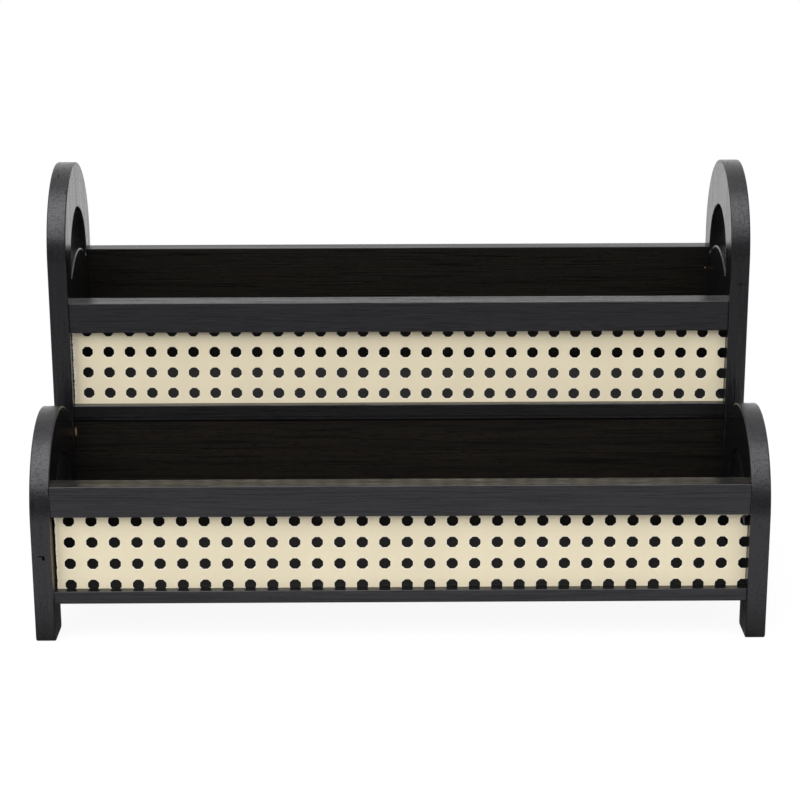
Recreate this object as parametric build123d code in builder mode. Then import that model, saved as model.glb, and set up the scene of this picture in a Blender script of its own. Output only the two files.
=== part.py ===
"""Two-tier open makeup organizer: arched side boards, rails, floors, back panels and perforated sheets.

Millimetres, +Z up, X across the front, the front towards -Y.
The origin lies on the ground, under the middle of the organizer.
"""

import os

from build123d import *

os.makedirs("parts", exist_ok=True)

# Overall sizes
width = 420.0
tier_depth = 104.0
side_thickness = 11.5

# Side boards: feet, arches and softened edges
foot_depth = 23.0
foot_height = 22.4
foot_round = 2.5
front_shoulder_height = 72.3
rear_shoulder_height = 199.0
side_edge_round = 0.9

# Crescent hand hole, measured from the spring line of the arch
handle_radius = 33.5
handle_drop = 9.0
handle_sill_radius = 51.0
handle_sill_drop = 2.0
handle_tip_round = 1.5

# Rails along the top of each sheet
rail_height = 18.2
front_rail_thickness = 13.2
rear_rail_thickness = 15.4
rail_edge_round = 0.45
front_setback = 2.5

# Floors
floor_thickness = 7.5
floor_edge_round = 0.45
rear_floor_height = 102.8

# Openings between floor and rail
front_window_height = 44.8
rear_window_height = 45.75

# Back panels
front_back_thickness = 8.0
front_back_inset = 2.0
front_back_top_gap = 1.5
front_back_edge_round = 0.3
rear_back_thickness = 12.2
rear_back_height = 85.9
rear_back_edge_round = 0.45

# Perforated sheets, seated in grooves of floor and rail
sheet_thickness = 0.5
sheet_inset = 5.2
front_sheet_left_gap = 1.2
rear_sheet_left_gap = 0.2
sheet_right_gap = 0.2
groove_depth = 3.5
groove_play = 0.1
hole_flats = 6.5
hole_sides = 8
hole_pitch_across = 12.88
hole_pitch_up = 12.95
first_column_offset = 9.18
front_first_row_offset = 1.4
rear_first_row_offset = 5.65
front_pattern_tilt = -0.2
rear_pattern_tilt = -0.335

# Wooden dowels
dowel_play = 0.05
dowel_end_gap = 0.5
side_bore_depth = 7.0
rail_dowel_radius = 2.5
rail_dowel_spacing = 8.0
rail_bore_depth = 15.0
floor_dowel_radius = 2.0
floor_dowel_shares = (0.2, 0.5, 0.8)
floor_bore_depth = 14.0
back_dowel_radius = 3.0
back_dowel_shares = (0.15, 0.5, 0.85)
back_bore_depth = 16.0
tier_dowel_radius = 3.0
tier_dowel_shares = (0.25, 0.75)
tier_bore_depth = 13.0

# Steel brads that pin the front back panel to the floor
brad_shank_radius = 0.8
brad_head_radius = 1.6
brad_head_thickness = 1.0
brad_length = 22.0
brad_play = 0.05
brad_count = 5

# Places that follow from the sizes above
inner_x = width / 2 - side_thickness
arch_radius = tier_depth / 2
front_middle_y = -tier_depth / 2
rear_middle_y = tier_depth / 2
front_face_y = front_setback - tier_depth
rear_face_y = front_setback
front_floor_top = foot_height + floor_thickness
rear_floor_top = rear_floor_height + floor_thickness
front_rail_bottom = front_floor_top + front_window_height
rear_rail_bottom = rear_floor_top + rear_window_height
front_back_face_y = front_back_inset
front_back_rear_y = front_back_inset + front_back_thickness
front_back_top = rear_floor_height - front_back_top_gap
rear_back_face_y = tier_depth - rear_back_thickness
rear_back_top = rear_floor_height + rear_back_height
groove_width = sheet_thickness + 2 * groove_play
groove_offset = sheet_inset - groove_play


def spread(low, high, shares):
    """Places between two limits, at the given shares of the distance."""
    return [low + share * (high - low) for share in shares]


def rail_dowel_centres(face_y, thickness, bottom):
    """Middle of each dowel at a rail's end, as (y, z), in the wood behind the groove."""
    groove_back = groove_offset + groove_width
    middle_y = face_y + (groove_back + thickness) / 2
    middle_z = bottom + rail_height / 2
    return [(middle_y, middle_z - rail_dowel_spacing / 2), (middle_y, middle_z + rail_dowel_spacing / 2)]


def floor_dowel_centres(face_y, back_y, bottom):
    """Middle of each dowel at a floor's end, as (y, z)."""
    middle_z = bottom + floor_thickness / 2
    return [(y, middle_z) for y in spread(face_y, back_y, floor_dowel_shares)]


front_rail_centres = rail_dowel_centres(front_face_y, front_rail_thickness, front_rail_bottom)
rear_rail_centres = rail_dowel_centres(rear_face_y, rear_rail_thickness, rear_rail_bottom)
front_floor_centres = floor_dowel_centres(front_face_y, front_back_face_y, foot_height)
rear_floor_centres = floor_dowel_centres(rear_face_y, rear_back_face_y, rear_floor_height)
rear_back_centres = [
    (tier_depth - rear_back_thickness / 2, z)
    for z in spread(rear_floor_height, rear_back_top, back_dowel_shares)
]
tier_dowel_heights = spread(foot_height, front_shoulder_height, tier_dowel_shares)
brad_height = foot_height + floor_thickness / 2
brad_step = 2 * inner_x / brad_count


def end_cylinders(centres, radius, board_depth, side_depth):
    """Cylinders that run from both ends of a board into the side boards: its dowels, or their bores."""
    with BuildPart() as cylinders:
        for side in (-1, 1):
            with BuildSketch(Plane.YZ.offset(side * (inner_x - board_depth))):
                with Locations(*centres):
                    Circle(radius)
            extrude(amount=side * (board_depth + side_depth))
    return cylinders


def end_dowels(centres, radius, depth):
    """Dowels at both ends of a board, a little shorter than their bores."""
    return end_cylinders(centres, radius, depth - dowel_end_gap, side_bore_depth - dowel_end_gap)


def end_bores(centres, radius, depth):
    """Bores for the dowels at both ends of a board."""
    return end_cylinders(centres, radius + dowel_play, depth, side_bore_depth)


def tier_cylinders(side, radius, depth):
    """Cylinders across the seam between the front and rear boards of one side."""
    with BuildPart() as cylinders:
        with BuildSketch(Plane.XZ.offset(-depth)):
            with Locations(*[(side * (inner_x + side_thickness / 2), z) for z in tier_dowel_heights]):
                Circle(radius)
        extrude(amount=2 * depth)
    return cylinders


def brad_cylinders(radius, length):
    """Cylinders from the rear of the front back panel forwards: brad heads, shanks or their holes."""
    with BuildPart() as cylinders:
        with BuildSketch(Plane.XZ.offset(-front_back_rear_y)):
            with Locations((0, brad_height)):
                with GridLocations(brad_step, brad_step, brad_count, 1):
                    Circle(radius)
        extrude(amount=length)
    return cylinders


front_rail_bores = end_bores(front_rail_centres, rail_dowel_radius, rail_bore_depth)
rear_rail_bores = end_bores(rear_rail_centres, rail_dowel_radius, rail_bore_depth)
front_floor_bores = end_bores(front_floor_centres, floor_dowel_radius, floor_bore_depth)
rear_floor_bores = end_bores(rear_floor_centres, floor_dowel_radius, floor_bore_depth)
rear_back_bores = end_bores(rear_back_centres, back_dowel_radius, back_bore_depth)
brad_shank_holes = brad_cylinders(brad_shank_radius + brad_play, brad_length + brad_play)
brad_head_holes = brad_cylinders(brad_head_radius + brad_play, brad_head_thickness)


def side_board(side, middle_y, shoulder, bores):
    """An arched side board with two feet, a crescent hole and blind bores for its dowels.

    side is -1 for the left board and 1 for the right one.
    """
    front_y = middle_y - arch_radius
    back_y = middle_y + arch_radius
    inner_face = Plane.YZ.offset(side * inner_x)
    outward = side * side_thickness
    with BuildPart() as board:
        with BuildSketch(inner_face) as outline:
            with BuildLine():
                Polyline(
                    (front_y, shoulder),
                    (front_y, 0),
                    (front_y + foot_depth, 0),
                    (front_y + foot_depth, foot_height),
                    (back_y - foot_depth, foot_height),
                    (back_y - foot_depth, 0),
                    (back_y, 0),
                    (back_y, shoulder),
                )
                ThreePointArc((back_y, shoulder), (middle_y, shoulder + arch_radius), (front_y, shoulder))
            make_face()
            foot_corners = outline.vertices().filter_by(lambda corner: corner.Z < shoulder)
            fillet(foot_corners, foot_round)
        extrude(amount=outward)
        with BuildSketch(inner_face) as crescent:
            with Locations((middle_y, shoulder - handle_drop)):
                Circle(handle_radius)
            with Locations((middle_y, shoulder - handle_sill_drop - handle_sill_radius)):
                Circle(handle_sill_radius, mode=Mode.SUBTRACT)
            fillet(crescent.vertices(), handle_tip_round)
        extrude(amount=outward, mode=Mode.SUBTRACT)
        fillet(board.faces().filter_by(Axis.X).edges(), side_edge_round)
        for bore in bores:
            add(bore.part, mode=Mode.SUBTRACT)
        add(tier_cylinders(side, tier_dowel_radius + dowel_play, tier_bore_depth).part, mode=Mode.SUBTRACT)
    return board


def cross_rail(face_y, thickness, bottom, bores):
    """A rail between the side boards, with a groove for the sheet in its underside."""
    with BuildPart() as rail:
        with BuildSketch(Plane.YZ.offset(-inner_x)):
            with Locations((face_y, bottom)):
                Rectangle(thickness, rail_height, align=Align.MIN)
        extrude(amount=2 * inner_x)
        fillet(rail.edges().filter_by(Axis.X), rail_edge_round)
        with BuildSketch(Plane.YZ.offset(-inner_x)):
            with Locations((face_y + groove_offset, bottom)):
                Rectangle(groove_width, groove_depth, align=Align.MIN)
        extrude(amount=2 * inner_x, mode=Mode.SUBTRACT)
        add(bores.part, mode=Mode.SUBTRACT)
    return rail


def floor_board(face_y, back_y, bottom, bores):
    """A floor between the side boards, with a groove for the sheet in its top face."""
    with BuildPart() as floor:
        with BuildSketch(Plane.YZ.offset(-inner_x)):
            with Locations((face_y, bottom)):
                Rectangle(back_y - face_y, floor_thickness, align=Align.MIN)
        extrude(amount=2 * inner_x)
        front_edges = floor.edges().filter_by(Axis.X).group_by(Axis.Y)[0]
        fillet(front_edges, floor_edge_round)
        with BuildSketch(Plane.YZ.offset(-inner_x)):
            with Locations((face_y + groove_offset, bottom + floor_thickness - groove_depth)):
                Rectangle(groove_width, groove_depth, align=Align.MIN)
        extrude(amount=2 * inner_x, mode=Mode.SUBTRACT)
        for bore in bores:
            add(bore.part, mode=Mode.SUBTRACT)
    return floor


def cane_panel(face_y, floor_top, window_height, left_gap, first_row_offset, tilt):
    """A perforated sheet with rows of octagonal holes, some of them cut by its edges.

    The columns of holes are counted from the inner face of the left board, the rows from the floor.
    """
    left = -inner_x + left_gap
    sheet_width = 2 * inner_x - left_gap - sheet_right_gap
    bottom = floor_top - groove_depth
    sheet_height = window_height + 2 * groove_depth
    columns = 1 + int((left_gap + sheet_width - first_column_offset) / hole_pitch_across)
    rows = 1 + int((window_height - first_row_offset) / hole_pitch_up)
    middle_x = -inner_x + first_column_offset + (columns - 1) * hole_pitch_across / 2
    middle_z = floor_top + first_row_offset + (rows - 1) * hole_pitch_up / 2
    with BuildPart() as sheet:
        with BuildSketch(Plane.XZ.offset(-face_y - sheet_inset)):
            with Locations((left, bottom)):
                Rectangle(sheet_width, sheet_height, align=Align.MIN)
            with Locations(Location((middle_x, middle_z), tilt)):
                with GridLocations(hole_pitch_across, hole_pitch_up, columns, rows):
                    RegularPolygon(
                        hole_flats / 2,
                        hole_sides,
                        major_radius=False,
                        rotation=180 / hole_sides,
                        mode=Mode.SUBTRACT,
                    )
        extrude(amount=-sheet_thickness)
    return sheet


def write(piece, name):
    """Label a finished piece and write its file."""
    piece.part.label = name
    export_step(piece.part, f"parts/{name}.step")


# Side boards and the dowels between the tiers
front_bores = (front_rail_bores, front_floor_bores)
rear_bores = (rear_rail_bores, rear_floor_bores, rear_back_bores)
for side, side_name in ((-1, "left"), (1, "right")):
    write(side_board(side, front_middle_y, front_shoulder_height, front_bores), f"front_{side_name}_side")
    write(side_board(side, rear_middle_y, rear_shoulder_height, rear_bores), f"rear_{side_name}_side")
    tier_dowels = tier_cylinders(side, tier_dowel_radius, tier_bore_depth - dowel_end_gap)
    write(tier_dowels, f"{side_name}_tier_dowels")

# Rails
write(cross_rail(front_face_y, front_rail_thickness, front_rail_bottom, front_rail_bores), "front_top_rail")
write(cross_rail(rear_face_y, rear_rail_thickness, rear_rail_bottom, rear_rail_bores), "rear_top_rail")
write(end_dowels(front_rail_centres, rail_dowel_radius, rail_bore_depth), "front_rail_dowels")
write(end_dowels(rear_rail_centres, rail_dowel_radius, rail_bore_depth), "rear_rail_dowels")

# Perforated sheets
front_cane_panel = cane_panel(
    front_face_y,
    front_floor_top,
    front_window_height,
    front_sheet_left_gap,
    front_first_row_offset,
    front_pattern_tilt,
)
rear_cane_panel = cane_panel(
    rear_face_y,
    rear_floor_top,
    rear_window_height,
    rear_sheet_left_gap,
    rear_first_row_offset,
    rear_pattern_tilt,
)
write(front_cane_panel, "front_cane_panel")
write(rear_cane_panel, "rear_cane_panel")

# Floors
front_floor_holes = (front_floor_bores, brad_shank_holes)
write(floor_board(front_face_y, front_back_face_y, foot_height, front_floor_holes), "front_floor_board")
rear_floor_holes = (rear_floor_bores,)
write(floor_board(rear_face_y, rear_back_face_y, rear_floor_height, rear_floor_holes), "rear_floor_board")
write(end_dowels(front_floor_centres, floor_dowel_radius, floor_bore_depth), "front_floor_dowels")
write(end_dowels(rear_floor_centres, floor_dowel_radius, floor_bore_depth), "rear_floor_dowels")

# Panel behind the front tray, pinned to the floor from the rear
with BuildPart() as front_back_panel:
    with BuildSketch(Plane.XZ.offset(-front_back_face_y)):
        with Locations((0, foot_height)):
            Rectangle(2 * inner_x, front_back_top - foot_height, align=(Align.CENTER, Align.MIN))
    extrude(amount=-front_back_thickness)
    fillet(front_back_panel.edges().filter_by(Axis.X).group_by(Axis.Z)[-1], front_back_edge_round)
    add(brad_shank_holes.part, mode=Mode.SUBTRACT)
    add(brad_head_holes.part, mode=Mode.SUBTRACT)
write(front_back_panel, "front_back_panel")

with BuildPart() as front_back_brads:
    add(brad_cylinders(brad_head_radius, brad_head_thickness).part)
    add(brad_cylinders(brad_shank_radius, brad_length).part)
write(front_back_brads, "front_back_brads")

# Panel behind the rear tray
with BuildPart() as rear_back_panel:
    with BuildSketch(Plane.YZ.offset(-inner_x)):
        with Locations((rear_back_face_y, rear_floor_height)):
            Rectangle(rear_back_thickness, rear_back_height, align=Align.MIN)
    extrude(amount=2 * inner_x)
    fillet(rear_back_panel.edges().filter_by(Axis.X), rear_back_edge_round)
    add(rear_back_bores.part, mode=Mode.SUBTRACT)
write(rear_back_panel, "rear_back_panel")
write(end_dowels(rear_back_centres, back_dowel_radius, back_bore_depth), "rear_back_dowels")
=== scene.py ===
"""Dress a two-tier makeup organizer: painted boards, cane-look sheets, dowels, brads and a studio."""

import math

import bmesh
import bpy
from bpy.props import FloatProperty, FloatVectorProperty, IntProperty, PointerProperty
from mathutils import Matrix, Vector, noise


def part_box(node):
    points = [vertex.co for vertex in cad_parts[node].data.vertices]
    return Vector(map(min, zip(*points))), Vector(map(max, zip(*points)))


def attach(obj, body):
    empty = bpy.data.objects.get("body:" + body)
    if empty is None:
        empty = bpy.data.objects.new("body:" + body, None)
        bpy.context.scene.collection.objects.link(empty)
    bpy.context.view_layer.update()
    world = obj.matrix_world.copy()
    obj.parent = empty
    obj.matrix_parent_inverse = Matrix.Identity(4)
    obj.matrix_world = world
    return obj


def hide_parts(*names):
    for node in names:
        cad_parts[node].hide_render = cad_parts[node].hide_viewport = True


bl_info = {
    "name": "Two-tier makeup organizer",
    "version": (1, 0, 0),
    "blender": (4, 5, 0),
    "location": "3D View > Sidebar > Organizer",
    "description": "Dresses the boards and sheets of a two-tier makeup organizer and sets up its studio",
    "category": "Object",
}

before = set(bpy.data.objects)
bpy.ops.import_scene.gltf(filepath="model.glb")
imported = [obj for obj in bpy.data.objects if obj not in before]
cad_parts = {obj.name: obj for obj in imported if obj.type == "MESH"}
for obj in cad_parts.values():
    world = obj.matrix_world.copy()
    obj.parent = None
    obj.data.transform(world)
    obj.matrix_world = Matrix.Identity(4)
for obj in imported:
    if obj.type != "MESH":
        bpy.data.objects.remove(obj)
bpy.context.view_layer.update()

BODY = "root"
AXIS_X = 0
AXIS_Y = 1
AXIS_Z = 2
SIDE_BOARDS = ("front_left_side", "front_right_side", "rear_left_side", "rear_right_side")
RAILS = ("front_top_rail", "rear_top_rail")
FLOORS = ("front_floor_board", "rear_floor_board")
BACK_PANELS = ("front_back_panel", "rear_back_panel")
CROSS_DOWELS = (
    "front_rail_dowels",
    "rear_rail_dowels",
    "front_floor_dowels",
    "rear_floor_dowels",
    "rear_back_dowels",
)
TIER_DOWELS = ("left_tier_dowels", "right_tier_dowels")

# Sockets of a mix node that are for colours
MIX_FACTOR = 0
MIX_FIRST = 6
MIX_SECOND = 7
MIX_RESULT = 2

# How much detail a noise has
LOW_DETAIL = 1.0
SOME_DETAIL = 2.0
FINE_DETAIL = 3.0

# Spans of a noise over which a mark goes from none to full
PORE_SPAN = (0.60, 0.70)
LINE_SPAN = (0.50, 0.66)
SPECK_SPAN = (0.48, 0.66)
GRAIN_SPAN = (0.45, 0.75)
WIDE_SPAN = (0.35, 0.65)
SOFT_SPAN = (0.3, 0.7)
# The same for the distance from the middle of a spot, and for the mark of a cut edge
SPOT_SPAN = (0.6, 1.0)
CORE_SPAN = (0.2, 1.0)

# Wood grain: how strong the dark marks are, and the share of the colour that is left in them
STREAK_STRENGTH = 0.5
STREAK_SHADE = 0.55
LINE_STRENGTH = 0.9
LINE_SHADE = 0.15
# How much smoother and rougher than the finish its bands get
SMOOTHER_BANDS = 0.05
ROUGHER_BANDS = 0.07
# Height of the fibres and depth of the lines, as shares of the relief
FIBRE_HEIGHT = 0.6
LINE_DEPTH = 0.8
# Width over which the painted floor light and its rougher paint fade in, as a share of the plain front edge
FLOOR_LIGHT_FADE = 0.25

# Sheet: how strong its clouds and grain are, and the share of the colour that is left in them
CLOUD_STRENGTH = 0.5
GRAIN_STRENGTH = 0.45
SHEET_SHADE = 0.9
# How far the sheet's roughness swings with its grain
SHEET_SWING = 0.06

# Strength of the relief on each kind of surface
GRAIN_BUMP = 0.6
SHEET_BUMP = 0.5
DOWEL_BUMP = 0.4

# Cells that a sheet's grid has beyond its columns and rows of holes
SPARE_CELLS = 2
OCTAGON_CORNERS = 8
# How near a corner lies to an edge that it counts as part of, as a share of the edge round
EDGE_TOLERANCE = 0.1
# Least mark and least angle of an edge that was punched
MARKED = 0.99
SHARP_ANGLE = math.radians(45)

# Span of directions, from away from the bright side to towards it, over which the room turns white
ROOM_SPAN = (-0.5, 0.4)
# Where the floor's shadow fades out and the gleam behind fades in, as shares of the shadow reach
SHADOW_END = (0.5, 1.0)
GLEAM_BEHIND = (0.25, 1.0)
# Where the front gleam rises and falls, as shares of the front reach
FRONT_RISE = (0.4, 0.25)
FRONT_FALL = (1.08, 0.92)
# Width of the camera's sensor in millimetres
SENSOR_WIDTH = 36.0

# Dark knocks in the wood, each with its middle, its half size along each axis and its strength
SIDE_DENTS = (
    ((-0.2046, -0.104, 0.0523), (0.0022, 0.002, 0.0006), 0.9),
    ((-0.2032, -0.104, 0.0512), (0.0010, 0.002, 0.0018), 1.0),
    ((0.2047, 0.0, 0.1851), (0.0021, 0.002, 0.0009), 0.5),
    ((-0.2055, 0.0320, 0.2470), (0.0005, 0.0030, 0.0020), 1.0),
    ((-0.2067, 0.0365, 0.2486), (0.0004, 0.0022, 0.0020), 0.9),
    ((-0.1995, 0.0190, 0.2390), (0.0004, 0.0020, 0.0016), 0.8),
    ((0.2013, 0.0448, 0.2505), (0.0012, 0.0030, 0.0020), 0.7),
    ((0.1985, 0.0281, 0.2306), (0.0020, 0.0012, 0.0006), 0.7),
)
# The same for a painted reflection of the cream sheet on the front left board's inner face, in the colour of
# bare wood
SIDE_SHEET_REFLECTION = (
    ((-0.1985, -0.1005, 0.0500), (0.0007, 0.0060, 0.0300), 0.6),
)
# The same for places where bare wood shows through the finish
PANEL_CHIPS = (
    ((-0.1977, 0.002, 0.0942), (0.0007, 0.0020, 0.0032), 1.0),
    ((0.1972, 0.0918, 0.1750), (0.0007, 0.0020, 0.0006), 1.0),
)


class PaintSettings(bpy.types.PropertyGroup):
    """Black paint over open-grained wood."""

    black: FloatVectorProperty(
        name="Paint",
        description="Colour of the black paint",
        default=(0.0072, 0.0072, 0.0080),
        subtype="COLOR",
        min=0.0,
        max=1.0,
    )
    # Also the black of the painted shade along the top of the front tray's panel
    pore_and_shade: FloatVectorProperty(
        name="Pores",
        description="Colour down in the pores of the wood",
        default=(0.0015, 0.0015, 0.0015),
        subtype="COLOR",
        min=0.0,
        max=1.0,
    )
    # Also the colour of the painted reflection of the cream sheet on the front left board
    bare_and_reflection: FloatVectorProperty(
        name="Bare wood",
        description="Colour of the wood where the finish is chipped",
        default=(0.22, 0.15, 0.085),
        subtype="COLOR",
        min=0.0,
        max=1.0,
    )
    stain: FloatVectorProperty(
        name="Stain",
        description="Colour of the stained panels behind the trays",
        default=(0.0088, 0.0070, 0.0050),
        subtype="COLOR",
        min=0.0,
        max=1.0,
    )
    roughness: FloatProperty(
        name="Roughness",
        description="Roughness of the semi-gloss paint",
        default=0.2,
        min=0.0,
        max=1.0,
        subtype="FACTOR",
    )
    gloss: FloatProperty(
        name="Gloss",
        description="Specular level of the paint, where 0.5 is a common varnish",
        default=0.5,
        min=0.0,
        max=1.0,
        subtype="FACTOR",
    )
    sheen_tint: FloatVectorProperty(
        name="Sheen tint",
        description="Cool tint of the paint's reflections",
        default=(0.95, 0.94, 1.0),
        subtype="COLOR",
        min=0.0,
        max=1.0,
    )
    stain_roughness: FloatProperty(
        name="Stain roughness",
        description="Roughness of the stained panels",
        default=0.3,
        min=0.0,
        max=1.0,
        subtype="FACTOR",
    )
    stain_gloss: FloatProperty(
        name="Stain gloss",
        description="Specular level of the stained panels",
        default=0.22,
        min=0.0,
        max=1.0,
        subtype="FACTOR",
    )
    board_pitting: FloatProperty(
        name="Board pitting",
        description="Depth of the open pores in the side boards, as a share of the relief",
        default=0.6,
        min=0.0,
        subtype="FACTOR",
    )
    fine_pitting: FloatProperty(
        name="Fine pitting",
        description="Depth of the open pores in rails, floors and panels, as a share of the relief",
        default=0.15,
        min=0.0,
        subtype="FACTOR",
    )
    fibre_width: FloatProperty(
        name="Fibre width",
        description="Width of the wood's fibres under the paint",
        default=0.0005,
        unit="LENGTH",
    )
    fibre_length: FloatProperty(
        name="Fibre length",
        description="Length of the wood's fibres under the paint",
        default=0.016,
        unit="LENGTH",
    )
    line_width: FloatProperty(
        name="Line width",
        description="Width of the dark lines of the grain",
        default=0.0008,
        unit="LENGTH",
    )
    line_length: FloatProperty(
        name="Line length",
        description="Length of the dark lines of the grain",
        default=0.05,
        unit="LENGTH",
    )
    pore_width: FloatProperty(
        name="Pore width",
        description="Spacing of the open pores across the grain",
        default=0.0006,
        unit="LENGTH",
    )
    pore_length: FloatProperty(
        name="Pore length",
        description="Spacing of the open pores along the grain",
        default=0.006,
        unit="LENGTH",
    )
    speck_size: FloatVectorProperty(
        name="Speck size",
        description="Spacing of the dull specks in the paint along each axis",
        default=(0.0023, 0.0013, 0.0010),
        subtype="XYZ",
        unit="LENGTH",
    )
    board_specks: FloatProperty(
        name="Board specks",
        description="How dull the specks in the side boards are",
        default=0.25,
        min=0.0,
        max=1.0,
        subtype="FACTOR",
    )
    fine_specks: FloatProperty(
        name="Fine specks",
        description="How dull the specks in rails, floors and panels are",
        default=0.12,
        min=0.0,
        max=1.0,
        subtype="FACTOR",
    )
    band_width: FloatProperty(
        name="Band width",
        description="Width of the growth bands",
        default=0.005,
        unit="LENGTH",
    )
    band_length: FloatProperty(
        name="Band length",
        description="Length over which a growth band wanders",
        default=0.16,
        unit="LENGTH",
    )
    # Painted light: a paler colour and a rougher paint on the tray floors behind their front edges stand in
    # for the light that the floors catch from above, more in the rear tray
    painted_floor_light: FloatVectorProperty(
        name="Scuffs",
        description="Colour of the paint where the tray floors are scuffed",
        default=(0.026, 0.024, 0.022),
        subtype="COLOR",
        min=0.0,
        max=1.0,
    )
    floor_roughness_rise: FloatProperty(
        name="Scuff roughness",
        description="Roughness that full scuffs add to the paint",
        default=0.35,
        min=0.0,
        max=1.0,
        subtype="FACTOR",
    )
    # Painted light: how much of the paler colour and rougher paint each tray floor gets
    front_floor_light: FloatProperty(
        name="Front scuffs",
        description="How scuffed the floor of the front tray is",
        default=0.4,
        min=0.0,
        max=1.0,
        subtype="FACTOR",
    )
    rear_floor_light: FloatProperty(
        name="Rear scuffs",
        description="How scuffed the floor of the rear tray is",
        default=0.8,
        min=0.0,
        max=1.0,
        subtype="FACTOR",
    )
    plain_edge: FloatProperty(
        name="Clean edge",
        description="Width of the front edge of a floor that keeps its gloss",
        default=0.006,
        unit="LENGTH",
    )
    # Painted shade: a black band along the top of the front tray's panel stands in for the shade in the gap
    # under the rear tray's floor
    gap_shade_depth: FloatProperty(
        name="Raw edge",
        description="Depth of the raw dark edge along the top of the front tray's panel",
        default=0.0012,
        unit="LENGTH",
    )
    relief: FloatProperty(
        name="Relief",
        description="Height of the grain that shows through the paint",
        default=0.00012,
        unit="LENGTH",
    )


class SheetSettings(bpy.types.PropertyGroup):
    """Cane-look sheets with rows of octagonal holes."""

    cream: FloatVectorProperty(
        name="Cream",
        description="Colour of the sheet's face",
        default=(0.73, 0.65, 0.47),
        subtype="COLOR",
        min=0.0,
        max=1.0,
    )
    cut: FloatVectorProperty(
        name="Cut edge",
        description="Colour of the paler core at the cut edges",
        default=(0.92, 0.89, 0.80),
        subtype="COLOR",
        min=0.0,
        max=1.0,
    )
    roughness: FloatProperty(
        name="Roughness",
        description="Roughness of the sheet's face",
        default=0.55,
        min=0.0,
        max=1.0,
        subtype="FACTOR",
    )
    cloud_size: FloatProperty(
        name="Cloud size",
        description="Size of the faint clouds in the sheet's colour",
        default=0.03,
        unit="LENGTH",
    )
    grain_size: FloatProperty(
        name="Grain size",
        description="Size of the pressed grain of the sheet's face",
        default=0.0006,
        unit="LENGTH",
    )
    relief: FloatProperty(
        name="Relief",
        description="Height of the pressed grain",
        default=0.00008,
        unit="LENGTH",
    )
    hole: FloatProperty(
        name="Hole",
        description="Width of a hole across its flats",
        default=0.0065,
        unit="LENGTH",
    )
    rim: FloatProperty(
        name="Rim",
        description="Width of the pressed rim round a hole",
        default=0.0004,
        unit="LENGTH",
    )
    edge_round: FloatProperty(
        name="Edge round",
        description="Softened edge where a hole was punched",
        default=0.0001,
        unit="LENGTH",
    )
    pitch_across: FloatProperty(
        name="Pitch across",
        description="Distance between columns of holes",
        default=0.01288,
        unit="LENGTH",
    )
    pitch_up: FloatProperty(
        name="Pitch up",
        description="Distance between rows of holes",
        default=0.01295,
        unit="LENGTH",
    )
    first_column: FloatProperty(
        name="First column",
        description="Place of the first column of holes, from the end of the floor",
        default=0.00918,
        unit="LENGTH",
    )
    front_first_row: FloatProperty(
        name="Front first row",
        description="Height of the front sheet's lowest row of holes above its floor",
        default=0.0014,
        unit="LENGTH",
    )
    rear_first_row: FloatProperty(
        name="Rear first row",
        description="Height of the rear sheet's lowest row of holes above its floor",
        default=0.00565,
        unit="LENGTH",
    )
    front_tilt: FloatProperty(
        name="Front tilt",
        description="Lean of the hole pattern on the front sheet",
        default=math.radians(-0.2),
        subtype="ANGLE",
    )
    rear_tilt: FloatProperty(
        name="Rear tilt",
        description="Lean of the hole pattern on the rear sheet",
        default=math.radians(-0.335),
        subtype="ANGLE",
    )
    ragged: FloatProperty(
        name="Ragged edge",
        description="Depth of the tears along the left edge",
        default=0.0009,
        unit="LENGTH",
    )
    tear: FloatProperty(
        name="Tear length",
        description="Length of a tear along the left edge",
        default=0.0022,
        unit="LENGTH",
    )
    ragged_cuts: IntProperty(
        name="Ragged cuts",
        description="Points added to each stretch of the left edge",
        default=10,
        min=1,
    )


class FittingSettings(bpy.types.PropertyGroup):
    """Wooden dowels and steel brads that hold the boards together."""

    dowel_pale: FloatVectorProperty(
        name="Pale fibres",
        description="Colour of the pale fibres of the dowels",
        default=(0.60, 0.43, 0.26),
        subtype="COLOR",
        min=0.0,
        max=1.0,
    )
    dowel_dark: FloatVectorProperty(
        name="Dark fibres",
        description="Colour of the dark fibres of the dowels",
        default=(0.46, 0.30, 0.16),
        subtype="COLOR",
        min=0.0,
        max=1.0,
    )
    dowel_roughness: FloatProperty(
        name="Dowel roughness",
        description="Roughness of the bare wood of the dowels",
        default=0.62,
        min=0.0,
        max=1.0,
        subtype="FACTOR",
    )
    dowel_fibre_length: FloatProperty(
        name="Dowel fibre length",
        description="Length of the fibres of the dowels",
        default=0.012,
        unit="LENGTH",
    )
    dowel_fibre_width: FloatProperty(
        name="Dowel fibre width",
        description="Width of the fibres of the dowels",
        default=0.0005,
        unit="LENGTH",
    )
    dowel_relief: FloatProperty(
        name="Dowel relief",
        description="Height of the fibres of the dowels",
        default=0.0001,
        unit="LENGTH",
    )
    steel_dark: FloatVectorProperty(
        name="Dark steel",
        description="Colour of the steel in its drawing marks",
        default=(0.42, 0.42, 0.43),
        subtype="COLOR",
        min=0.0,
        max=1.0,
    )
    steel_pale: FloatVectorProperty(
        name="Pale steel",
        description="Colour of the steel between its drawing marks",
        default=(0.60, 0.60, 0.61),
        subtype="COLOR",
        min=0.0,
        max=1.0,
    )
    steel_smooth: FloatProperty(
        name="Smooth steel",
        description="Lowest roughness of the steel",
        default=0.28,
        min=0.0,
        max=1.0,
        subtype="FACTOR",
    )
    steel_rough: FloatProperty(
        name="Rough steel",
        description="Highest roughness of the steel",
        default=0.42,
        min=0.0,
        max=1.0,
        subtype="FACTOR",
    )
    mark_length: FloatProperty(
        name="Mark length",
        description="Length of the drawing marks in the steel",
        default=0.004,
        unit="LENGTH",
    )
    mark_width: FloatProperty(
        name="Mark width",
        description="Width of the drawing marks in the steel",
        default=0.0001,
        unit="LENGTH",
    )


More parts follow.
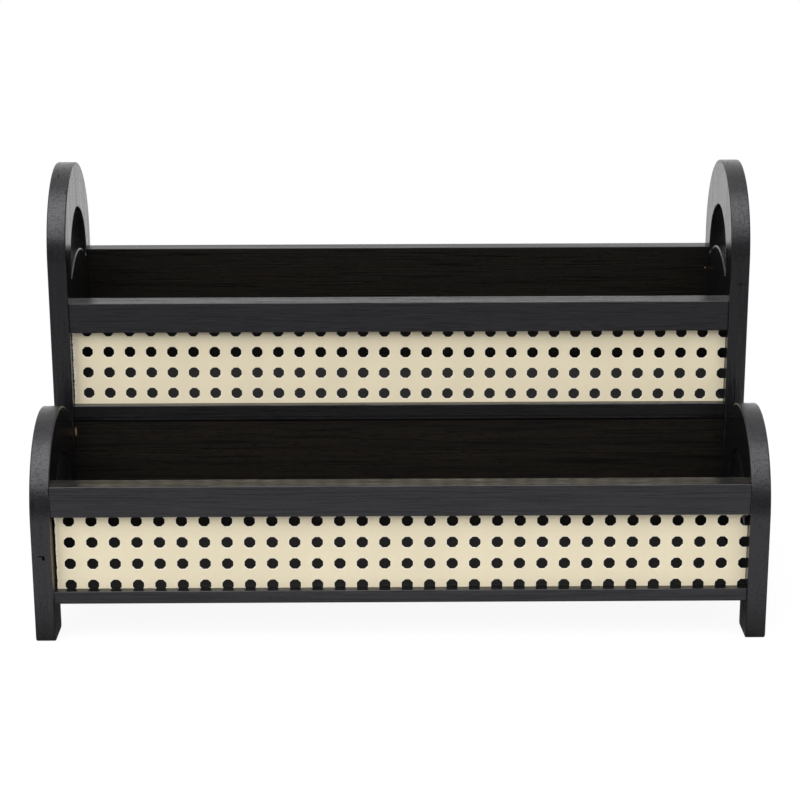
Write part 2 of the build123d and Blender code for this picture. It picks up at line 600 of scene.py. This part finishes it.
class StudioSettings(bpy.types.PropertyGroup):
    """Camera, lamps, floor and backdrop."""

    camera_place: FloatVectorProperty(
        name="Camera place",
        description="Where the camera stands",
        default=(-0.005979, -1.231599, 0.472043),
        subtype="TRANSLATION",
        unit="LENGTH",
        precision=5,
    )
    camera_pitch: FloatProperty(
        name="Camera pitch",
        description="How far the camera looks down",
        default=math.radians(16.212),
        subtype="ANGLE",
    )
    camera_yaw: FloatProperty(
        name="Camera yaw",
        description="How far the camera looks to the right",
        default=math.radians(0.299),
        subtype="ANGLE",
    )
    camera_roll: FloatProperty(
        name="Camera roll",
        description="How far the camera is turned about its own line of sight",
        default=math.radians(-0.173),
        subtype="ANGLE",
    )
    lens: FloatProperty(
        name="Lens",
        description="Focal length in millimetres, on a sensor 36 mm wide",
        default=94.881,
        subtype="DISTANCE_CAMERA",
    )
    sky_light: FloatProperty(
        name="Sky light",
        description="Strength of the even light from all round",
        default=0.88,
    )
    bright_side: FloatVectorProperty(
        name="Bright side",
        description="Direction in which the room is white",
        default=(0.0, 0.6, 0.8),
        subtype="DIRECTION",
    )
    room_dark: FloatProperty(
        name="Dark side",
        description="Strength of the dim side of the room, as reflections show it",
        default=0.3,
    )
    top_place: FloatVectorProperty(
        name="Top lamp place",
        description="Where the lamp above the organizer hangs",
        default=(0.0, -0.2, 1.4),
        subtype="TRANSLATION",
        unit="LENGTH",
    )
    top_aim: FloatVectorProperty(
        name="Top lamp aim",
        description="Where the lamp above the organizer points",
        default=(0.0, -0.2, 0.0),
        subtype="TRANSLATION",
        unit="LENGTH",
    )
    top_width: FloatProperty(
        name="Top lamp width",
        description="Width of the square lamp above the organizer",
        default=1.0,
        unit="LENGTH",
    )
    top_power: FloatProperty(
        name="Top lamp",
        description="Power of the soft lamp above the organizer",
        default=0.3,
        subtype="POWER",
    )
    front_place: FloatVectorProperty(
        name="Front lamp place",
        description="Where the lamp in front of the organizer hangs",
        default=(-0.35, -1.1, 1.7),
        subtype="TRANSLATION",
        unit="LENGTH",
    )
    front_aim: FloatVectorProperty(
        name="Front lamp aim",
        description="Where the lamp in front of the organizer points",
        default=(0.0, 0.0, 0.15),
        subtype="TRANSLATION",
        unit="LENGTH",
    )
    front_width: FloatProperty(
        name="Front lamp width",
        description="Width of the square lamp in front of the organizer",
        default=2.4,
        unit="LENGTH",
    )
    front_power: FloatProperty(
        name="Front lamp",
        description="Power of the soft lamp in front of the organizer",
        default=21.5,
        subtype="POWER",
    )
    lamp_spread: FloatProperty(
        name="Lamp spread",
        description="How far the beams of the lamps fan out",
        default=math.radians(110),
        subtype="ANGLE",
    )
    floor_colour: FloatVectorProperty(
        name="Floor colour",
        description="Colour of the floor where it bounces light",
        default=(0.35, 0.35, 0.35),
        subtype="COLOR",
        min=0.0,
        max=1.0,
    )
    floor_shade: FloatVectorProperty(
        name="Floor shade",
        description="Colour of the floor where reflections show it without its gleam",
        default=(0.24, 0.24, 0.24),
        subtype="COLOR",
        min=0.0,
        max=1.0,
    )
    floor_white: FloatProperty(
        name="Floor white",
        description="Share of plain white in the floor that the camera sees near the organizer",
        default=0.92,
        min=0.0,
        max=1.0,
        subtype="FACTOR",
    )
    floor_gleam: FloatProperty(
        name="Floor gleam",
        description="Share of plain white in the floor behind the organizer, as reflections show it",
        default=0.95,
        min=0.0,
        max=1.0,
        subtype="FACTOR",
    )
    front_gleam: FloatProperty(
        name="Front gleam",
        description="Share of plain white in the floor before the organizer, as reflections show it",
        default=1.0,
        min=0.0,
        max=1.0,
        subtype="FACTOR",
    )
    front_reach: FloatProperty(
        name="Front reach",
        description="How far before the organizer the floor gleams in reflections",
        default=0.43,
        unit="LENGTH",
    )
    front_fade: FloatProperty(
        name="Front fade",
        description="Share of the front gleam that is left farther out",
        default=0.1,
        min=0.0,
        max=1.0,
        subtype="FACTOR",
    )
    shadow_reach: FloatProperty(
        name="Shadow reach",
        description="How far from the organizer the floor keeps its shadow",
        default=0.6,
        unit="LENGTH",
    )
    floor_width: FloatProperty(
        name="Floor width",
        description="Width and depth of the floor",
        default=16.0,
        unit="LENGTH",
    )


def add_node(tree, kind, **settings):
    """Add a shader node and set its own options."""
    node = tree.nodes.new(kind)
    for name, value in settings.items():
        setattr(node, name, value)
    return node


def fill(tree, socket, value):
    """Put a link or a plain value into a socket."""
    if isinstance(value, bpy.types.NodeSocket):
        tree.links.new(value, socket)
    else:
        socket.default_value = value


def feed(tree, node, **inputs):
    """Fill a node's inputs by name. An underscore in a name stands for a space."""
    for name, value in inputs.items():
        fill(tree, node.inputs[name.replace("_", " ")], value)


def new_material(name):
    """Start a material with one principled shader."""
    material = bpy.data.materials.new(name)
    material.use_nodes = True
    shader = material.node_tree.nodes["Principled BSDF"]
    return material, material.node_tree, shader


def object_place(tree):
    """The place on a piece, in the piece's own coordinates."""
    return add_node(tree, "ShaderNodeTexCoord").outputs["Object"]


def object_depth(tree):
    """How far back the place on a piece lies."""
    parts = add_node(tree, "ShaderNodeSeparateXYZ")
    feed(tree, parts, Vector=object_place(tree))
    return parts.outputs["Y"]


def stretched(tree, cell):
    """The place on a piece, counted in cells of the given size along each axis."""
    mapping = add_node(tree, "ShaderNodeMapping")
    feed(tree, mapping, Vector=object_place(tree), Scale=[1 / size for size in cell])
    return mapping.outputs["Vector"]


def cell_along(axis, length, width):
    """Size of a cell that is long along one axis and narrow across it."""
    cell = [width] * 3
    cell[axis] = length
    return cell


def noise_texture(tree, cell, detail):
    """Noise whose grains have the given size along each axis."""
    texture = add_node(tree, "ShaderNodeTexNoise")
    feed(tree, texture, Vector=stretched(tree, cell), Scale=1.0, Detail=detail)
    return texture.outputs["Fac"]


def ramp(tree, value, span, start, end):
    """Map a span of a value to levels from start to end, clamped at both ends."""
    mapping = add_node(tree, "ShaderNodeMapRange")
    feed(tree, mapping, Value=value, From_Min=span[0], From_Max=span[1], To_Min=start, To_Max=end)
    return mapping.outputs["Result"]


def scaled(values, share):
    """A share of each value."""
    return [share * value for value in values]


def mixed_colour(tree, factor, first, second):
    """Blend two colours by a factor."""
    blend = add_node(tree, "ShaderNodeMix", data_type="RGBA")
    fill(tree, blend.inputs[MIX_FACTOR], factor)
    for index, colour in ((MIX_FIRST, first), (MIX_SECOND, second)):
        if not isinstance(colour, bpy.types.NodeSocket):
            colour = (*colour, 1.0)
        fill(tree, blend.inputs[index], colour)
    return blend.outputs[MIX_RESULT]


def value_step(tree, operation, *values):
    """One step of arithmetic on values."""
    step = add_node(tree, "ShaderNodeMath", operation=operation)
    for socket, value in zip(step.inputs, values):
        fill(tree, socket, value)
    return step.outputs["Value"]


def vector_step(tree, operation, *vectors):
    """One step of arithmetic on vectors. The outputs hold its Vector and its Value."""
    step = add_node(tree, "ShaderNodeVectorMath", operation=operation)
    for socket, vector in zip(step.inputs, vectors):
        fill(tree, socket, vector)
    return step.outputs


def larger_of(tree, first, second):
    """The larger of two values."""
    return value_step(tree, "MAXIMUM", first, second)


def product(tree, first, second):
    """One value times another."""
    return value_step(tree, "MULTIPLY", first, second)


def with_share(tree, base, value, share):
    """A base with a share of another value added to it."""
    return value_step(tree, "MULTIPLY_ADD", value, share, base)


def add_relief(tree, shader, height, strength, distance):
    """Let a pattern stand out of the surface."""
    bump = add_node(tree, "ShaderNodeBump")
    feed(tree, bump, Height=height, Strength=strength, Distance=distance)
    feed(tree, shader, Normal=bump.outputs["Normal"])


def spot_mask(tree, dark_spots):
    """A mask of small spots, each given by its middle, its half size along each axis and its strength."""
    mask = None
    for middle, half_size, strength in dark_spots:
        offset = vector_step(tree, "SUBTRACT", object_place(tree), middle)["Vector"]
        share = vector_step(tree, "DIVIDE", offset, half_size)["Vector"]
        reach = vector_step(tree, "LENGTH", share)["Value"]
        spot = ramp(tree, reach, SPOT_SPAN, strength, 0.0)
        mask = spot if mask is None else larger_of(tree, mask, spot)
    return mask


def floor_light_mask(tree, paint, edge, amount):
    """A mask of the tray floor behind the floor board's front edge, where the floor gets painted light and
    rougher paint.
    """
    start = edge + paint.plain_edge
    span = (start, start + FLOOR_LIGHT_FADE * paint.plain_edge)
    return ramp(tree, object_depth(tree), span, 0.0, amount)


def grained_wood(name, paint, finish, texture, axis, dents_and_shade=(), chips_and_reflection=(), floor_light=None):
    """Paint or stain over open-grained wood with its grain along one axis, dents, chips and painted light.

    finish holds the colour, the roughness and the specular level. texture holds the pitting and the
    dullness of the specks. The last argument holds the front edge of a tray floor and how much painted
    light and rougher paint the floor gets.
    """
    colour, roughness, gloss = finish
    pitting, dullness = texture
    material, tree, shader = new_material(name)
    fibres = noise_texture(tree, cell_along(axis, paint.fibre_length, paint.fibre_width), FINE_DETAIL)
    line_noise = noise_texture(tree, cell_along(axis, paint.line_length, paint.line_width), SOME_DETAIL)
    pore_noise = noise_texture(tree, cell_along(axis, paint.pore_length, paint.pore_width), LOW_DETAIL)
    bands = noise_texture(tree, cell_along(axis, paint.band_length, paint.band_width), SOME_DETAIL)
    speck_noise = noise_texture(tree, paint.speck_size, LOW_DETAIL)

    streaks = ramp(tree, bands, WIDE_SPAN, 0.0, STREAK_STRENGTH)
    lines = ramp(tree, line_noise, LINE_SPAN, 0.0, LINE_STRENGTH)
    pores = ramp(tree, pore_noise, PORE_SPAN, 0.0, 1.0)
    dull = ramp(tree, speck_noise, SPECK_SPAN, 0.0, dullness)
    matte = ramp(tree, bands, SOFT_SPAN, roughness - SMOOTHER_BANDS, roughness + ROUGHER_BANDS)
    streaked = mixed_colour(tree, streaks, colour, scaled(colour, STREAK_SHADE))
    lined = mixed_colour(tree, lines, streaked, scaled(colour, LINE_SHADE))
    surface = mixed_colour(tree, pores, lined, paint.pore_and_shade)

    # Dents, and a black spot of painted shade along the top of the front tray's panel
    if dents_and_shade:
        dark_spots = spot_mask(tree, dents_and_shade)
        surface = mixed_colour(tree, dark_spots, surface, paint.pore_and_shade)
        dull = larger_of(tree, dull, dark_spots)
    # Chips of bare wood, and on the side boards a painted reflection of the cream sheet in the same colour
    if chips_and_reflection:
        surface = mixed_colour(tree, spot_mask(tree, chips_and_reflection), surface, paint.bare_and_reflection)
    # Painted light on a tray floor: a paler colour behind the front edge, with a rougher paint
    if floor_light:
        lit_floor = floor_light_mask(tree, paint, *floor_light)
        surface = mixed_colour(tree, lit_floor, surface, paint.painted_floor_light)
        matte = with_share(tree, matte, lit_floor, paint.floor_roughness_rise)

    # Over black, the metallic input takes the gloss away, which makes the specks, the dents and the painted
    # shade dull
    feed(tree, shader, Base_Color=surface, Metallic=dull, Roughness=matte)
    shader.inputs["Specular IOR Level"].default_value = gloss
    shader.inputs["Specular Tint"].default_value = (*paint.sheen_tint, 1.0)
    pitted = with_share(tree, product(tree, fibres, FIBRE_HEIGHT), pores, -pitting)
    height = with_share(tree, pitted, lines, -LINE_DEPTH)
    add_relief(tree, shader, height, GRAIN_BUMP, paint.relief)
    return material


def cane_material(sheet):
    """Cream sheet with a fine pressed grain and a paler core at its cut edges."""
    material, tree, shader = new_material("cream_cane_sheet")
    clouds = noise_texture(tree, [sheet.cloud_size] * 3, SOME_DETAIL)
    grain = noise_texture(tree, [sheet.grain_size] * 3, SOME_DETAIL)
    shade = scaled(sheet.cream, SHEET_SHADE)
    clouded = mixed_colour(tree, ramp(tree, clouds, WIDE_SPAN, 0.0, CLOUD_STRENGTH), sheet.cream, shade)
    grained = mixed_colour(tree, ramp(tree, grain, GRAIN_SPAN, 0.0, GRAIN_STRENGTH), clouded, shade)
    rim = add_node(tree, "ShaderNodeAttribute", attribute_name="rim", attribute_type="GEOMETRY")
    core = ramp(tree, rim.outputs["Fac"], CORE_SPAN, 0.0, 1.0)
    feed(tree, shader, Base_Color=mixed_colour(tree, core, grained, sheet.cut))
    smooth = sheet.roughness - SHEET_SWING
    rough = sheet.roughness + SHEET_SWING
    feed(tree, shader, Roughness=ramp(tree, grain, SOFT_SPAN, smooth, rough))
    add_relief(tree, shader, grain, SHEET_BUMP, sheet.relief)
    return material


def dowel_material(name, fittings, axis):
    """Bare turned wood with its grain along one axis."""
    material, tree, shader = new_material(name)
    cell = cell_along(axis, fittings.dowel_fibre_length, fittings.dowel_fibre_width)
    fibres = noise_texture(tree, cell, FINE_DETAIL)
    dark = ramp(tree, fibres, WIDE_SPAN, 0.0, 1.0)
    feed(tree, shader, Base_Color=mixed_colour(tree, dark, fittings.dowel_pale, fittings.dowel_dark))
    shader.inputs["Roughness"].default_value = fittings.dowel_roughness
    add_relief(tree, shader, fibres, DOWEL_BUMP, fittings.dowel_relief)
    return material


def steel_material(fittings):
    """Bright steel of the brads, with fine drawing marks along the shank."""
    material, tree, shader = new_material("brad_steel")
    cell = cell_along(AXIS_Y, fittings.mark_length, fittings.mark_width)
    marks = noise_texture(tree, cell, SOME_DETAIL)
    feed(tree, shader, Base_Color=mixed_colour(tree, marks, fittings.steel_dark, fittings.steel_pale))
    shader.inputs["Metallic"].default_value = 1.0
    feed(tree, shader, Roughness=ramp(tree, marks, SOFT_SPAN, fittings.steel_smooth, fittings.steel_rough))
    return material


def dress(node_name, material):
    """Give a CAD node its material."""
    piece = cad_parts[node_name]
    piece.data.materials.clear()
    piece.data.materials.append(material)


def new_piece(name, shape, material):
    """Make a mesh object of a finished bmesh."""
    mesh = bpy.data.meshes.new(name)
    shape.to_mesh(mesh)
    shape.free()
    mesh.materials.append(material)
    piece = bpy.data.objects.new(name, mesh)
    bpy.context.scene.collection.objects.link(piece)
    return piece


def punched_grid(sheet, columns, rows):
    """A flat grid of octagonal holes with spare cells round it, and the layer that marks the holes' edges."""
    rim_square = sheet.hole + 2 * sheet.rim
    octagon_leg = rim_square / (2 + math.sqrt(2))
    across = columns + SPARE_CELLS
    up = rows + SPARE_CELLS
    shape = bmesh.new()
    rim = shape.verts.layers.float.new("rim")
    bmesh.ops.create_grid(shape, x_segments=across, y_segments=up, size=0.5)
    cells = shape.faces[:]
    grid_size = (across * sheet.pitch_across, up * sheet.pitch_up, 1)
    bmesh.ops.scale(shape, verts=shape.verts, vec=grid_size)
    bmesh.ops.inset_individual(
        shape, faces=cells, thickness=(sheet.pitch_across - rim_square) / 2, use_even_offset=True
    )
    corners = list({corner for cell in cells for corner in cell.verts})
    bmesh.ops.bevel(
        shape, geom=corners, offset=octagon_leg, affect="VERTICES", segments=1, profile=0.5, material=-1
    )
    octagons = [face for face in shape.faces if len(face.verts) == OCTAGON_CORNERS]
    bmesh.ops.inset_individual(shape, faces=octagons, thickness=sheet.rim, use_even_offset=True)
    for octagon in octagons:
        for corner in octagon.verts:
            corner[rim] = 1.0
    bmesh.ops.delete(shape, geom=octagons, context="FACES_ONLY")
    return shape, rim


def tear_left_edge(shape, rim, sheet, limit):
    """Make the left edge of a flat sheet ragged. Corners to the left of the limit lie on that edge."""
    left_edges = [edge for edge in shape.edges if all(corner.co.x < limit for corner in edge.verts)]
    bmesh.ops.subdivide_edges(shape, edges=left_edges, cuts=sheet.ragged_cuts)
    for corner in shape.verts:
        if corner.co.x < limit:
            corner.co.x += sheet.ragged * abs(noise.noise(corner.co / sheet.tear))
            corner[rim] = 1.0


def punched_sheet(sheet, node_name, floor_name, rail_name, first_row, tilt):
    """Punch rows of octagonal holes into a sheet, trim it to its place and give it its thickness."""
    low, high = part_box(node_name)
    floor_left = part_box(floor_name)[0].x
    floor_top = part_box(floor_name)[1].z
    rail_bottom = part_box(rail_name)[0].z
    columns = 1 + int((high.x - floor_left - sheet.first_column) / sheet.pitch_across)
    rows = 1 + int((rail_bottom - floor_top - first_row) / sheet.pitch_up)
    middle_x = floor_left + sheet.first_column + (columns - 1) * sheet.pitch_across / 2
    middle_z = floor_top + first_row + (rows - 1) * sheet.pitch_up / 2

    shape, rim = punched_grid(sheet, columns, rows)
    upright = Matrix.Rotation(math.radians(90), 4, "X") @ Matrix.Rotation(tilt, 4, "Z")
    in_place = Matrix.Translation((middle_x, high.y, middle_z)) @ upright
    bmesh.ops.transform(shape, matrix=in_place, verts=shape.verts)
    trims = (
        (low, (-1, 0, 0)),
        (high, (1, 0, 0)),
        (low, (0, 0, -1)),
        (high, (0, 0, 1)),
    )
    for place, outward in trims:
        parts = shape.verts[:] + shape.edges[:] + shape.faces[:]
        bmesh.ops.bisect_plane(shape, geom=parts, plane_co=place, plane_no=outward, clear_outer=True)
    tolerance = EDGE_TOLERANCE * sheet.edge_round
    tear_left_edge(shape, rim, sheet, low.x + tolerance)

    parts = shape.verts[:] + shape.edges[:] + shape.faces[:]
    walls = bmesh.ops.extrude_face_region(shape, geom=parts, use_keep_orig=True)
    pulled = [part for part in walls["geom"] if isinstance(part, bmesh.types.BMVert)]
    bmesh.ops.translate(shape, verts=pulled, vec=(0, low.y - high.y, 0))
    bmesh.ops.recalc_face_normals(shape, faces=shape.faces)
    punched_edges = [
        edge for edge in shape.edges
        if all(corner[rim] > MARKED and corner.co.y < low.y + tolerance for corner in edge.verts)
        and edge.calc_face_angle(0) > SHARP_ANGLE
        and all(low.x + sheet.ragged < corner.co.x < high.x - sheet.rim for corner in edge.verts)
    ]
    bmesh.ops.bevel(
        shape,
        geom=punched_edges,
        offset=sheet.edge_round,
        affect="EDGES",
        segments=2,
        profile=0.5,
        material=-1,
    )
    bmesh.ops.triangulate(shape, faces=shape.faces[:])
    return shape


class ORGANIZER_OT_side_boards(bpy.types.Operator):
    """Paint the four arched side boards, with upright grain"""

    bl_idname = "organizer.side_boards"
    bl_label = "Paint side boards"

    def execute(self, context):
        paint = context.scene.organizer_paint
        finish = (paint.black, paint.roughness, paint.gloss)
        texture = (paint.board_pitting, paint.board_specks)
        # The side board chips are a painted reflection of the cream sheet on the front left board's inner
        # face
        upright_paint = grained_wood(
            "black_paint_upright_grain", paint, finish, texture, AXIS_Z, dents_and_shade=SIDE_DENTS, chips_and_reflection=SIDE_SHEET_REFLECTION
        )
        for node_name in SIDE_BOARDS:
            dress(node_name, upright_paint)
        return {"FINISHED"}


class ORGANIZER_OT_cross_boards(bpy.types.Operator):
    """Paint the rails and the floors, with grain along their length and painted light with rougher paint in
    the trays
    """

    bl_idname = "organizer.cross_boards"
    bl_label = "Paint rails and floors"

    def execute(self, context):
        paint = context.scene.organizer_paint
        finish = (paint.black, paint.roughness, paint.gloss)
        texture = (paint.fine_pitting, paint.fine_specks)
        long_paint = grained_wood("black_paint_long_grain", paint, finish, texture, AXIS_X)
        for node_name in RAILS:
            dress(node_name, long_paint)
        # Painted light: each tray floor gets a paler, rougher paint behind its front edge, more in the rear
        # tray
        for node_name, amount in zip(FLOORS, (paint.front_floor_light, paint.rear_floor_light)):
            floor_light = (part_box(node_name)[0].y, amount)
            lit_floor_paint = grained_wood(f"{node_name}_paint", paint, finish, texture, AXIS_X, floor_light=floor_light)
            dress(node_name, lit_floor_paint)
        return {"FINISHED"}


class ORGANIZER_OT_back_panels(bpy.types.Operator):
    """Stain the panels behind the two trays, with painted shade along the front panel's top"""

    bl_idname = "organizer.back_panels"
    bl_label = "Stain back panels"

    def execute(self, context):
        paint = context.scene.organizer_paint
        finish = (paint.stain, paint.stain_roughness, paint.stain_gloss)
        texture = (paint.fine_pitting, paint.fine_specks)
        low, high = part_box("front_back_panel")
        # Painted shade: one flat black spot along the panel's top, reaching far past its ends and faces,
        # stands in for the shade in the gap under the rear tray's floor
        reach = high.x - low.x
        gap_shade = (((0, high.y, high.z), (reach, reach, paint.gap_shade_depth), 1.0),)
        stain = grained_wood(
            "brown_black_stain", paint, finish, texture, AXIS_X, dents_and_shade=gap_shade, chips_and_reflection=PANEL_CHIPS
        )
        for node_name in BACK_PANELS:
            dress(node_name, stain)
        return {"FINISHED"}


class ORGANIZER_OT_cane_sheets(bpy.types.Operator):
    """Punch the two cane-look sheets and put them in their grooves"""

    bl_idname = "organizer.cane_sheets"
    bl_label = "Make cane-look sheets"

    def execute(self, context):
        sheet = context.scene.organizer_sheet
        cane = cane_material(sheet)
        tiers = (
            ("front", sheet.front_first_row, sheet.front_tilt),
            ("rear", sheet.rear_first_row, sheet.rear_tilt),
        )
        for tier, first_row, tilt in tiers:
            node_name = f"{tier}_cane_panel"
            dress(node_name, cane)
            shape = punched_sheet(
                sheet, node_name, f"{tier}_floor_board", f"{tier}_top_rail", first_row, tilt
            )
            piece = new_piece(f"{tier}_cane_sheet", shape, cane)
            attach(piece, BODY)
            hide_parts(node_name)
        return {"FINISHED"}


class ORGANIZER_OT_dowels(bpy.types.Operator):
    """Give the hidden dowels their bare wood"""

    bl_idname = "organizer.dowels"
    bl_label = "Finish dowels"

    def execute(self, context):
        fittings = context.scene.organizer_fittings
        for axis, names in ((AXIS_X, CROSS_DOWELS), (AXIS_Y, TIER_DOWELS)):
            wood = dowel_material(f"dowel_wood_{'xyz'[axis]}", fittings, axis)
            for node_name in names:
                dress(node_name, wood)
        return {"FINISHED"}


class ORGANIZER_OT_brads(bpy.types.Operator):
    """Give the brads their bright steel"""

    bl_idname = "organizer.brads"
    bl_label = "Finish brads"

    def execute(self, context):
        dress("front_back_brads", steel_material(context.scene.organizer_fittings))
        return {"FINISHED"}


def seen_rays(tree):
    """Values of 1 for rays from the camera, and for rays in reflections or through clear parts."""
    path = add_node(tree, "ShaderNodeLightPath")
    indirect = larger_of(tree, path.outputs["Is Glossy Ray"], path.outputs["Is Transmission Ray"])
    return path.outputs["Is Camera Ray"], indirect


def white_sky(studio):
    """A sky that is white to the camera, partly dim in reflections and even where it lights the organizer."""
    world = bpy.data.worlds.new("white_sky")
    world.use_nodes = True
    tree = world.node_tree
    background = tree.nodes["Background"]
    background.inputs["Color"].default_value = (1, 1, 1, 1)
    direct, indirect = seen_rays(tree)
    direction = add_node(tree, "ShaderNodeTexCoord").outputs["Generated"]
    brightness = vector_step(tree, "DOT_PRODUCT", direction, studio.bright_side)["Value"]
    mirrored = ramp(tree, brightness, ROOM_SPAN, studio.room_dark, 1.0)
    seen = larger_of(tree, direct, product(tree, indirect, mirrored))
    even = ramp(tree, larger_of(tree, direct, indirect), (0.0, 1.0), studio.sky_light, 0.0)
    feed(tree, background, Strength=larger_of(tree, seen, even))
    bpy.context.scene.world = world


def pale_floor(studio):
    """A plain white floor that keeps a faint shadow of the organizer."""
    material, tree, shader = new_material("pale_floor")
    shader.inputs["Roughness"].default_value = 1.0
    shader.inputs["Specular IOR Level"].default_value = 0.0
    glow = add_node(tree, "ShaderNodeEmission")
    direct, indirect = seen_rays(tree)
    lit = mixed_colour(tree, direct, studio.floor_colour, (1, 1, 1))
    feed(tree, shader, Base_Color=mixed_colour(tree, indirect, lit, studio.floor_shade))
    reach = vector_step(tree, "LENGTH", object_place(tree))["Value"]
    depth = object_depth(tree)
    shadow_end = scaled(SHADOW_END, studio.shadow_reach)
    gleam_behind = scaled(GLEAM_BEHIND, studio.shadow_reach)
    front_rise = scaled(FRONT_RISE, -studio.front_reach)
    front_fall = scaled(FRONT_FALL, -studio.front_reach)
    white = product(tree, direct, ramp(tree, reach, shadow_end, studio.floor_white, 1.0))
    behind = ramp(tree, depth, gleam_behind, 0.0, studio.floor_gleam)
    rise = ramp(tree, depth, front_rise, studio.front_gleam, 0.0)
    fall = ramp(tree, depth, front_fall, studio.front_fade, 1.0)
    gleam = product(tree, indirect, larger_of(tree, behind, product(tree, rise, fall)))
    blend = add_node(tree, "ShaderNodeMixShader")
    feed(tree, blend, Fac=larger_of(tree, white, gleam))
    tree.links.new(shader.outputs["BSDF"], blend.inputs[1])
    tree.links.new(glow.outputs["Emission"], blend.inputs[2])
    tree.links.new(blend.outputs["Shader"], tree.nodes["Material Output"].inputs["Surface"])
    shape = bmesh.new()
    bmesh.ops.create_grid(shape, x_segments=1, y_segments=1, size=studio.floor_width / 2)
    new_piece("floor", shape, material)


def soft_lamp(name, place, aim, width, spread, power):
    """A square lamp with a grid that narrows its beam, pointed at a place."""
    light = bpy.data.lights.new(name, "AREA")
    light.shape = "SQUARE"
    light.size = width
    light.spread = spread
    light.energy = power
    lamp = bpy.data.objects.new(name, light)
    lamp.location = place
    lamp.rotation_euler = (Vector(aim) - Vector(place)).to_track_quat("-Z", "Y").to_euler()
    bpy.context.scene.collection.objects.link(lamp)


def studio_camera(studio):
    """A camera at the photograph's place, looking slightly down at the front."""
    data = bpy.data.cameras.new("camera")
    data.sensor_width = SENSOR_WIDTH
    data.lens = studio.lens
    camera = bpy.data.objects.new("camera", data)
    turn = (
        Matrix.Rotation(-studio.camera_yaw, 4, "Z")
        @ Matrix.Rotation(math.radians(90) - studio.camera_pitch, 4, "X")
        @ Matrix.Rotation(studio.camera_roll, 4, "Z")
    )
    camera.matrix_world = Matrix.Translation(studio.camera_place) @ turn
    bpy.context.scene.collection.objects.link(camera)
    bpy.context.scene.camera = camera


class ORGANIZER_OT_studio(bpy.types.Operator):
    """Set up the floor, the sky, the lamps and the camera"""

    bl_idname = "organizer.studio"
    bl_label = "Set up studio"

    def execute(self, context):
        studio = context.scene.organizer_studio
        context.scene.view_settings.view_transform = "Standard"
        white_sky(studio)
        pale_floor(studio)
        lamps = (
            ("top_lamp", studio.top_place, studio.top_aim, studio.top_width, studio.top_power),
            ("front_lamp", studio.front_place, studio.front_aim, studio.front_width, studio.front_power),
        )
        for name, place, aim, width, power in lamps:
            soft_lamp(name, place, aim, width, studio.lamp_spread, power)
        studio_camera(studio)
        return {"FINISHED"}


STEPS = (
    ORGANIZER_OT_side_boards,
    ORGANIZER_OT_cross_boards,
    ORGANIZER_OT_back_panels,
    ORGANIZER_OT_cane_sheets,
    ORGANIZER_OT_dowels,
    ORGANIZER_OT_brads,
    ORGANIZER_OT_studio,
)


class ORGANIZER_PT_sidebar(bpy.types.Panel):
    """Steps and settings of the organizer"""

    bl_idname = "ORGANIZER_PT_sidebar"
    bl_label = "Makeup organizer"
    bl_space_type = "VIEW_3D"
    bl_region_type = "UI"
    bl_category = "Organizer"

    def draw(self, context):
        for step in STEPS:
            self.layout.operator(step.bl_idname)
        scene = context.scene
        groups = (
            scene.organizer_paint,
            scene.organizer_sheet,
            scene.organizer_fittings,
            scene.organizer_studio,
        )
        for settings in groups:
            box = self.layout.box()
            for name in settings.__annotations__:
                box.prop(settings, name)


CLASSES = (
    PaintSettings,
    SheetSettings,
    FittingSettings,
    StudioSettings,
    *STEPS,
    ORGANIZER_PT_sidebar,
)


def register():
    for cls in CLASSES:
        bpy.utils.register_class(cls)
    bpy.types.Scene.organizer_paint = PointerProperty(type=PaintSettings)
    bpy.types.Scene.organizer_sheet = PointerProperty(type=SheetSettings)
    bpy.types.Scene.organizer_fittings = PointerProperty(type=FittingSettings)
    bpy.types.Scene.organizer_studio = PointerProperty(type=StudioSettings)


def unregister():
    del bpy.types.Scene.organizer_studio
    del bpy.types.Scene.organizer_fittings
    del bpy.types.Scene.organizer_sheet
    del bpy.types.Scene.organizer_paint
    for cls in reversed(CLASSES):
        bpy.utils.unregister_class(cls)


def main():
    """Build the whole scene in order."""
    register()
    bpy.ops.organizer.side_boards()
    bpy.ops.organizer.cross_boards()
    bpy.ops.organizer.back_panels()
    bpy.ops.organizer.cane_sheets()
    bpy.ops.organizer.dowels()
    bpy.ops.organizer.brads()
    bpy.ops.organizer.studio()


if __name__ == "__main__":
    main()
